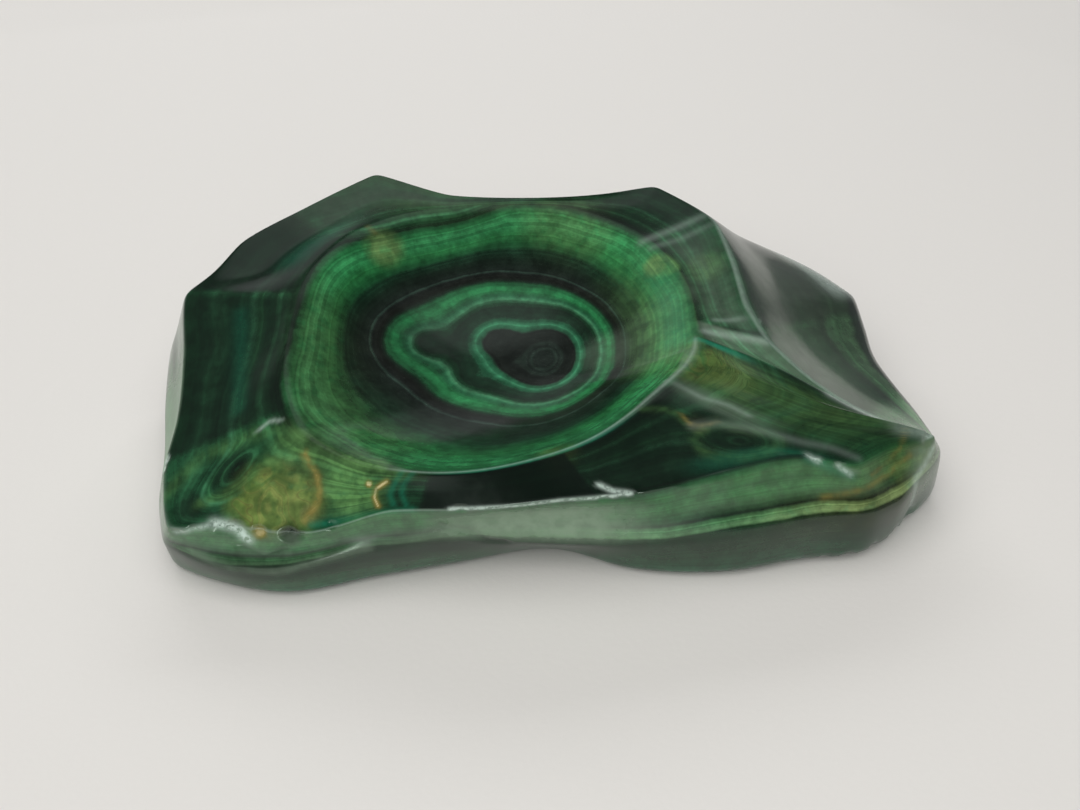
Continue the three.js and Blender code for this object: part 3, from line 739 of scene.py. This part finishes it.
@dataclass(frozen=True)
class PolishedMalachite:
    """Malachite, sawn, ground and lapped to a gloss. Heights and layers are in millimetres.

    A Span gives two values of a noise or a mark, and the two numbers that they are turned to.
    """

    # Lapping gives the eye a soft mirror over opaque bands. What it mirrors looks a little green.
    name: str = "malachite_lapped_gloss"
    index: float = 1.68
    roughness: Span = (.3, .7, .10, .18)
    sheen: Colour = (0.76, 0.90, 0.78, 1.0)
    dulling: float = 0.3  # how much rougher chip bruises, painted highlights and painted sheen are
    swell_height: float = 0.04
    grit_height: float = 0.002
    line_pitch: float = 1.1
    line_roughness: float = 0.7
    lined: Span = (.33, .67, .80, 1.18)
    flow_per_mm: float = 0.8
    flowing: Span = (.35, .65, .68, 1.22)
    contours: float = 9.0  # between the olive ground's lowest place and its highest
    glint: Span = (.40, .56, .7, 0)
    reach: Span = (14, 40, 1, 3)  # how far layers wander, the nearer and the farther ones
    small_reach: float = 0.5
    # colour of the dark bands and of the painted shade
    dark: str = "0f1713"
    light: str = "548048"
    teal: str = "17775a"
    # colour of the painted sheen
    pale: str = "88a088"
    # pale colour of the painted highlights and of the chip bruises
    wear: str = "c4d8ce"
    stain: Point = (1.1, 1.34, 0.46)
    luminance: Point = (0.2, 0.7, 0.1)
    olive: Stops = (
        (.26, "476a30"), (.38, "567232"), (.45, "637a38"), (.50, "6f7f3c"), (.53, "656a36"),
        (.56, "667c3a"), (.66, "55722f"), (.74, "6c7637"),
    )
    ochre: Stops = ((0, "5f5a2a"), (.75, "8a7c40"), (.97, "d6c894"))
    dish_span: float = 44.0
    dish: Stops = (
        (0, "171d1a"), (2.6, "18201c"), (3.2, "233029"), (3.8, "19211d"), (4.6, "1f2a24"), (5.4, "151a17"),
        (8.1, "131714"), (8.9, "20553a"), (9.5, "347553"), (10.2, "1d5036"), (11, "163021"), (13.2, "102217"),
        (14.1, "183f27"), (14.8, "386f4e"), (15.4, "266040"), (16.6, "1f6038"), (17.8, "267243"),
        (18.9, "1c5030"), (19.8, "141f18"), (20.6, "141613"), (22, "181c1a"), (22.5, "2b3c34"),
        (23, "171f1b"), (26, "132018"), (29, "153121"), (31, "1b502d"), (33.5, "256a3a"), (36, "2b7846"),
        (38.5, "317f4c"), (40.6, "24683b"), (42, "1b4c2c"), (43.2, "112418"),
    )
    outer_span: float = 90.0
    outer: Stops = (
        (44, "132b1b"), (45.6, "1c4229"), (46.6, "2f6341"), (47.4, "1e472c"), (49.2, "193c27"),
        (50.2, "2b5f3c"), (50.9, "1e4a2d"), (52, "376e4c"), (52.8, "1f4a30"), (55, "173a25"), (58, "275538"),
        (60, "1a4029"), (63.5, "184127"), (64.5, "1d5531"), (67, "275f31"), (69.5, "23572e"), (73, "2c6336"),
        (75.5, "23502f"), (77.8, "26382c"), (78.6, "487a50"), (79.5, "4f8056"), (80, "345f3b"),
        (80.5, "5d8c62"), (81.5, "568259"), (82.3, "183220"), (85, "0f2a1a"), (89, "153420"), (93, "1f4a33"),
        (97, "33705a"), (108, "1d4330"), (118, "2a6a42"), (134, "1a3f2a"),
    )

    def material(self) -> bpy.types.Material:
        """Builds the material. The growth mark gives the layers' colours, and the other marks lie over them.

        Returns:
            The finished material.
        """
        material, tree, surface = new_material(self.name)
        node = partial(add, tree)
        mark, noise, factor = {}, {}, {}
        for which in Mark:
            out = "Vector" if which is Mark.GRAIN else "Fac"
            mark[which] = node("Attribute", out=out, attribute_name=which.value)
        place = node("TexCoord", out="Object")
        at_mm = node("VectorMath:SCALE", {0: place, "Scale": 1 / MM})
        for which in Noise:
            scale, detail, rough, span = which.value
            along = mark[Mark.GRAIN] if which in (Noise.HILLS, Noise.FIBRE, Noise.STREAK) else at_mm
            made = node("TexNoise", {"Vector": along, "Scale": scale, "Detail": detail, "Roughness": rough})
            noise[which] = made
            if span:
                factor[which] = node("MapRange", (made, *span))

        # the layers wander by under half a millimetre in the dish, and by about one outside it
        layer = mark[Mark.GROWTH]
        reach = node("MapRange", (layer, *self.reach))
        for which, far in ((Noise.WANDER, reach), (Noise.RIPPLE, self.small_reach)):
            swing = node("Math:SUBTRACT", (noise[which], 0.5))
            swing = node("Math:MULTIPLY", (swing, far))
            layer = node("Math:ADD", (layer, swing))
        halves = []
        for start, span, stops in ((0.0, self.dish_span, self.dish),
                                   (self.dish_span, self.outer_span, self.outer)):
            along = node("MapRange", (layer, start, start + span))
            stops = tuple(((at - start) / span, code) for at, code in stops)
            halves.append(node("ValToRGB", (along,), stops=stops))
        outside = node("Math:GREATER_THAN", (layer, self.dish_span))
        colour = node("Mix", {0: outside, 6: halves[0], 7: halves[1]}, out=2, data_type="RGBA")

        # fine growth lines, and the fibrous mottle inside the layers
        lines = node("TexNoise", {"W": layer, "Scale": 1 / self.line_pitch, "Detail": 2.0,
                                  "Roughness": self.line_roughness}, noise_dimensions="1D")
        strength = node("MapRange", (lines, *self.lined))
        for which in (Noise.MOTTLE, Noise.CLOUD):
            strength = node("Math:MULTIPLY", (strength, factor[which]))
        colour = node("VectorMath:SCALE", {0: colour, "Scale": strength})

        # how much each mark covers: a noise breaks up all but the dark ground and its painted shade, and the
        # rubbed edges and painted highlights fleck
        share = {Mark.DARK: mark[Mark.DARK]}
        for which, by in ((Mark.OLIVE, Noise.BLOTCH), (Mark.LIGHT, Noise.BLOTCH), (Mark.STAIN, Noise.BLOTCH),
                          (Mark.TEAL, Noise.MOTTLE), (Mark.PALE, Noise.STREAK), (Mark.VEIN, Noise.RIPPLE)):
            share[which] = node("Math:MULTIPLY", (mark[which], factor[by]))
        # the painted highlights and rubbed edges break into flecks where the mottle is low
        glint = node("MapRange", (noise[Noise.MOTTLE], *self.glint))
        glint = node("Math:MULTIPLY", (glint, mark[Mark.WEAR]))
        whole = node("Math:SUBTRACT", (1.0, glint))
        share[Mark.WEAR] = node("Math:MULTIPLY", (mark[Mark.WEAR], whole))

        # what covers the ground, in order: olive meanders in contours, and light green flows
        hills = node("Math:MULTIPLY", (noise[Noise.HILLS], self.contours))
        contour = node("TexNoise", {"W": hills, "Scale": 1.0, "Detail": 1.0}, noise_dimensions="1D")
        flow = node("TexNoise", {"W": layer, "Scale": self.flow_per_mm, "Detail": 3.0}, noise_dimensions="1D")
        light = linear(self.light)[:3]
        for by in (node("MapRange", (flow, *self.flowing)), factor[Noise.FIBRE]):
            light = node("VectorMath:SCALE", {0: light, "Scale": by})
        for which, cover in (
            (Mark.OLIVE, node("ValToRGB", (contour,), stops=self.olive)),
            (Mark.DARK, linear(self.dark)), (Mark.LIGHT, light), (Mark.STAIN, self.stain),
            (Mark.TEAL, linear(self.teal)), (Mark.PALE, linear(self.pale)),
            (Mark.VEIN, node("ValToRGB", (mark[Mark.VEIN],), stops=self.ochre)),
            (Mark.WEAR, linear(self.wear)),
        ):
            if which is Mark.STAIN:
                # iron turns the ground yellow, as light or dark as it is
                depth = node("VectorMath:DOT_PRODUCT", (colour, self.luminance), out="Value")
                cover = node("VectorMath:SCALE", {0: cover, "Scale": depth})
            colour = node("Mix", {0: share[which], 6: colour, 7: cover}, out=2, data_type="RGBA")
            if which is Mark.OLIVE:
                colour = node("VectorMath:SCALE", {0: colour, "Scale": factor[Noise.FIBRE]})

        # chip bruises and the painted highlights and painted sheen are made duller, and the lapping leaves
        # broad swells and the finest grit
        dulled = node("Math:MAXIMUM", (share[Mark.WEAR], share[Mark.PALE]))
        dulled = node("Math:MULTIPLY", (dulled, self.dulling))
        rough = node("MapRange", (noise[Noise.BLOTCH], *self.roughness))
        rough = node("Math:ADD", (rough, dulled))
        swell = node("Math:MULTIPLY", (noise[Noise.SWELL], self.swell_height * MM))
        grit = node("Math:MULTIPLY", (noise[Noise.GRIT], self.grit_height * MM))
        height = node("Math:ADD", (swell, grit))
        bump = node("Bump", {"Strength": 1.0, "Distance": 1.0, "Height": height}, out="Normal")
        shade = node("BsdfPrincipled", {"Base Color": colour, "Roughness": rough, "IOR": self.index,
                                        "Specular Tint": self.sheen, "Normal": bump}, out="BSDF")
        tree.links.new(shade, surface)
        return material


@dataclass(frozen=True)
class PaleLaminate:
    """Pale laminate, pressed with a fine pebble. The pebble and its depth are in millimetres."""

    # The pebble leaves no mirror: the eye sees only soft shadows and a faint light patch.
    name: str = "laminate_pressed_matt"
    colour: str = "dcdad7"
    roughness: float = 0.55
    pebbles_per_mm: float = 0.9
    pebble_depth: float = 0.2
    relief: float = 0.25

    def material(self) -> bpy.types.Material:
        """Builds the material.

        Returns:
            The finished material.
        """
        material, tree, surface = new_material(self.name)
        place = add(tree, "TexCoord", out="Object")
        pebble = add(tree, "TexNoise", {"Vector": place, "Scale": self.pebbles_per_mm / MM, "Detail": 2.0})
        bump = add(tree, "Bump", {"Strength": self.relief, "Distance": self.pebble_depth * MM,
                                  "Height": pebble}, out="Normal")
        shade = add(tree, "BsdfPrincipled", {
            "Base Color": linear(self.colour), "Roughness": self.roughness, "Normal": bump}, out="BSDF")
        tree.links.new(shade, surface)
        return material


# The pieces
def stand(name: str, data: bpy.types.ID) -> bpy.types.Object:
    """Puts a new object in the scene.

    Args:
        name: What it is called.
        data: Its mesh, light or camera.

    Returns:
        The object.
    """
    made = bpy.data.objects.new(name, data)
    bpy.context.scene.collection.objects.link(made)
    return made


@dataclass
class Specimen:
    """The stone: its skin, the layers on it, its chips and cracks, and its polish."""

    skin: Skin = field(default_factory=Skin)
    layers: Layers = field(default_factory=Layers)
    finish: PolishedMalachite = PolishedMalachite()
    nicks: tuple[Nick, ...] = tuple(Nick(*row) for row in (
        ((45.6, -29.8, 21.6), 1.4, .5), ((47, -30.5, 20.7), 1, .4), ((50.7, -30.5, 19.7), 1.4, .6),
        ((52.2, -30.9, 18.6), 1, .4), ((53.4, -31.2, 17.8), 1.2, .5), ((-71.1, -26.2, 15), 1.3, .4),
        ((-70.6, -24.6, 16.2), 1, .3), ((-65.2, -39.8, 12.9), 1.4, .4), ((-62, -40.2, 14), 1.2, .5),
        ((-57.6, -40, 14.6), 1.9, .6), ((-54.6, -40.4, 14.2), 2, .8), ((-50.7, -40.6, 14), 1.3, 1),
        ((-45.6, -41.1, 13.6), 1.6, 1.1), ((-43.4, -41.3, 13.6), 1, .6), ((-38, -40.6, 15.4), 1.2, .4),
        ((-15.8, -40, 18.8), 1, .3), ((8.5, -38.6, 20.2), 1.4, .4), ((11.5, -38.2, 20.4), 1.1, .4),
        ((14, -37.6, 20.6), 1.2, .4), ((69.5, -21.6, 18), 1.8, .6), ((68, -27, 3), 2.5, .8),
        ((60, -34, 1.5), 2, .6), ((64.6, -29.6, 1), 2.2, .8), ((54.6, -35, .8), 1.8, .6),
        ((50, -35.8, .8), 1.5, .5),
    ))
    # cracks worn open, whose strength is their depth in millimetres
    grooves: tuple[Vein, ...] = (
        Vein(NOTCH_CRACK, .7, .45),
        Vein(CORNER_CRACK, .9, .5),
        Vein(((21.7, -35.3, 21), (28.9, -33, 21.5), (38, -30.9, 22.3)), .9, .35),
    )

    def chip(self) -> None:
        """Breaks the nicks out of the edges and opens the cracks."""
        inward = -self.skin.normals()
        for cut in self.nicks + self.grooves:
            self.skin.points += inward * cut.weight(self.skin)[..., None]

    def fitted(self) -> Array:
        """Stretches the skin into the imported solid's box.

        Returns:
            Its points, then the middle of the dish and of the underside.
        """
        skin = self.skin
        low, high = (np.array(corner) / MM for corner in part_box("stone"))
        ends = np.array([[*skin.dish_centre, skin.dish_floor], [*skin.dish_centre, 0.0]])
        points = np.vstack([skin.points.reshape(-1, 3), ends])
        from_low, from_high = points.min(axis=0), points.max(axis=0)
        return low + (points - from_low) * (high - low) / (from_high - from_low)

    def faces(self) -> list[list[int]]:
        """Joins the points up.

        Returns:
            The faces between the columns, and those that close the dish and the underside.
        """
        columns, rows = self.skin.out.shape
        c, r = np.meshgrid(np.arange(columns), np.arange(rows - 1), indexing="ij")
        here, there = c * rows + r, (c + 1) % columns * rows + r
        quads = np.stack([here, here + 1, there + 1, there], axis=-1).reshape(-1, 4)
        first = (np.arange(columns) * rows).tolist()
        after = first[1:] + first[:1]
        top, bottom = columns * rows, columns * rows + 1
        caps = [[top, a, b] for a, b in zip(first, after)]
        caps += [[a + rows - 1, bottom, b + rows - 1] for a, b in zip(first, after)]
        return quads.tolist() + caps

    def dress(self, mesh: bpy.types.Mesh, marks: dict[Mark, Array]) -> None:
        """Writes the marks to the mesh's points and gives it the finish.

        Args:
            mesh: The stone's mesh.
            marks: The marks at every point of the skin.
        """
        for which, values in marks.items():
            vector = which is Mark.GRAIN
            wide = values if vector else values[..., None]
            ends = [wide[:, 0].mean(axis=0), wide[:, -1].mean(axis=0)]
            flat = np.vstack([wide.reshape(-1, wide.shape[-1]), *ends])
            layer = mesh.attributes.new(which.value, "FLOAT_VECTOR" if vector else "FLOAT", "POINT")
            layer.data.foreach_set("vector" if vector else "value", flat.astype(np.float32).ravel())
        mesh.materials.append(self.finish.material())

    def build(self) -> bpy.types.Object:
        """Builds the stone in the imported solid's box, and dresses it.

        Returns:
            The finished object.
        """
        self.skin.lay()
        self.skin.polish()
        marks = self.layers.marks(self.skin)
        self.chip()
        mesh = bpy.data.meshes.new("stone_polished")
        mesh.from_pydata((self.fitted() * MM).tolist(), [], self.faces())
        self.dress(mesh, marks)
        mesh.shade_smooth()
        mesh.validate()
        stone = stand("stone_polished", mesh)
        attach(stone, "root")
        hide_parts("stone")
        return stone


@dataclass(frozen=True)
class Lamp:
    """A rectangular soft light that faces the stone, in metres and watts.

    mirrored says whether the stone mirrors it, and spread whether it lights matt ground.
    """

    name: str
    at: Point
    size: Pair
    power: float
    colour: str = "ffffff"
    mirrored: bool = False
    spread: bool = True

    def hang(self) -> None:
        """Hangs the light, turned to the stone."""
        data = bpy.data.lights.new(self.name, "AREA")
        data.shape = "RECTANGLE"
        data.size, data.size_y = self.size
        data.energy = self.power
        data.color = linear(self.colour)[:3]
        lamp = stand(self.name, data)
        lamp.location = self.at
        lamp.rotation_euler = (-Vector(self.at)).to_track_quat("-Z", "Y").to_euler()
        lamp.visible_glossy, lamp.visible_diffuse = self.mirrored, self.spread


class Room(Enum):
    """Parts of the room's light: a direction, the cosines to it where they change, and their strengths."""

    GLOW = ((-.25, .89, .38), (.85, .98), (0, .2))
    GLOW_TOP = ((0, 0, 1), (.40, .56), (1, .1))
    HAZE = ((0, 0, 1), (.1, .4), (.22, 0))
    CEILING = ((0, .38, .92), (.90, .98), (0, .38))
    BEHIND_EYE = ((.08, -.97, .22), (.72, .97), (1, .22))
    RIGHT = ((1, 0, 0), (.2, .9), (1, .5))
    HORIZON = ((0, 0, 1), (0, .15), (.5, 0))
    AHEAD = ((0, -1, 0), (0, .6), (0, 1))


@dataclass
class Studio:
    """A pale table, soft light from above and behind, a dim room, and the photo's viewpoint.

    The eye, lens and sensor are in millimetres, the floor in metres and the pitch in degrees.
    """

    eye: Point = (.911, -163.751, 141.73)
    pitch: float = 40
    lens: float = 33.333
    sensor: float = 36
    nearest: float = .005
    floor_size: float = 6
    dimmest: float = .07
    walls: str = "fbfbff"
    table: PaleLaminate = PaleLaminate()
    lamps: tuple[Lamp, ...] = (
        Lamp("overhead", (-.2, -.5, 1.15), (2.4, 2.2), 28, "fffefb"),
        Lamp("back_wash", (-.1, .85, .6), (1.2, .3), 4),
        Lamp("low_strip", (.03, -1, .032), (.16, .03), .4, mirrored=True, spread=False),
    )

    def floor(self) -> None:
        """Lays the table under the stone."""
        half = self.floor_size / 2
        corners = [(-half, -half, 0), (half, -half, 0), (half, half, 0), (-half, half, 0)]
        mesh = bpy.data.meshes.new("table")
        mesh.from_pydata(corners, [], [(0, 1, 2, 3)])
        mesh.materials.append(self.table.material())
        table = stand("table", mesh)

    def room(self) -> None:
        """Sets up the room's own light."""
        world = bpy.data.worlds.new("room")
        world.use_nodes = True
        tree = world.node_tree
        way = add(tree, "TexCoord", out="Generated")
        part = {}
        for which in Room:
            to, span, values = which.value
            lean = add(tree, "VectorMath:DOT_PRODUCT", (way, to), out="Value")
            part[which] = add(tree, "MapRange", (lean, *span, *values), interpolation_type="SMOOTHSTEP")
        horizon = add(tree, "Math:MULTIPLY", (part[Room.HORIZON], part[Room.AHEAD]))
        light = part[Room.GLOW]
        for other, operation in (
            (part[Room.GLOW_TOP], "MULTIPLY"), (part[Room.HAZE], "ADD"), (part[Room.CEILING], "ADD"),
            (self.dimmest, "ADD"), (part[Room.BEHIND_EYE], "MULTIPLY"), (part[Room.RIGHT], "MULTIPLY"),
            (horizon, "ADD"),
        ):
            light = add(tree, "Math:" + operation, (light, other))
        tree.links.new(light, tree.nodes["Background"].inputs["Strength"])
        tree.nodes["Background"].inputs["Color"].default_value = linear(self.walls)
        bpy.context.scene.world = world

    def camera(self) -> None:
        """Puts the camera where the photo was taken from."""
        data = bpy.data.cameras.new("camera")
        data.sensor_width = self.sensor
        data.lens = self.lens
        data.clip_start = self.nearest
        camera = stand("camera", data)
        camera.location = Vector(self.eye) * MM
        camera.rotation_euler = (math.radians(90.0 - self.pitch), 0.0, 0.0)
        bpy.context.scene.camera = camera

    def build(self) -> None:
        """Sets up the table, the lights, the room and the camera."""
        self.floor()
        for lamp in self.lamps:
            lamp.hang()
        self.room()
        self.camera()
        bpy.context.scene.view_settings.view_transform = "Standard"


def main() -> None:
    """Builds the studio and the stone, and notes the sizes."""
    studio = Studio()
    studio.build()
    log.info("studio: table, %d soft lights, room, camera", len(studio.lamps))
    stone = Specimen().build()
    log.info("%s: %d faces", stone.name, len(stone.data.polygons))


if __name__ == "__main__":
    main()
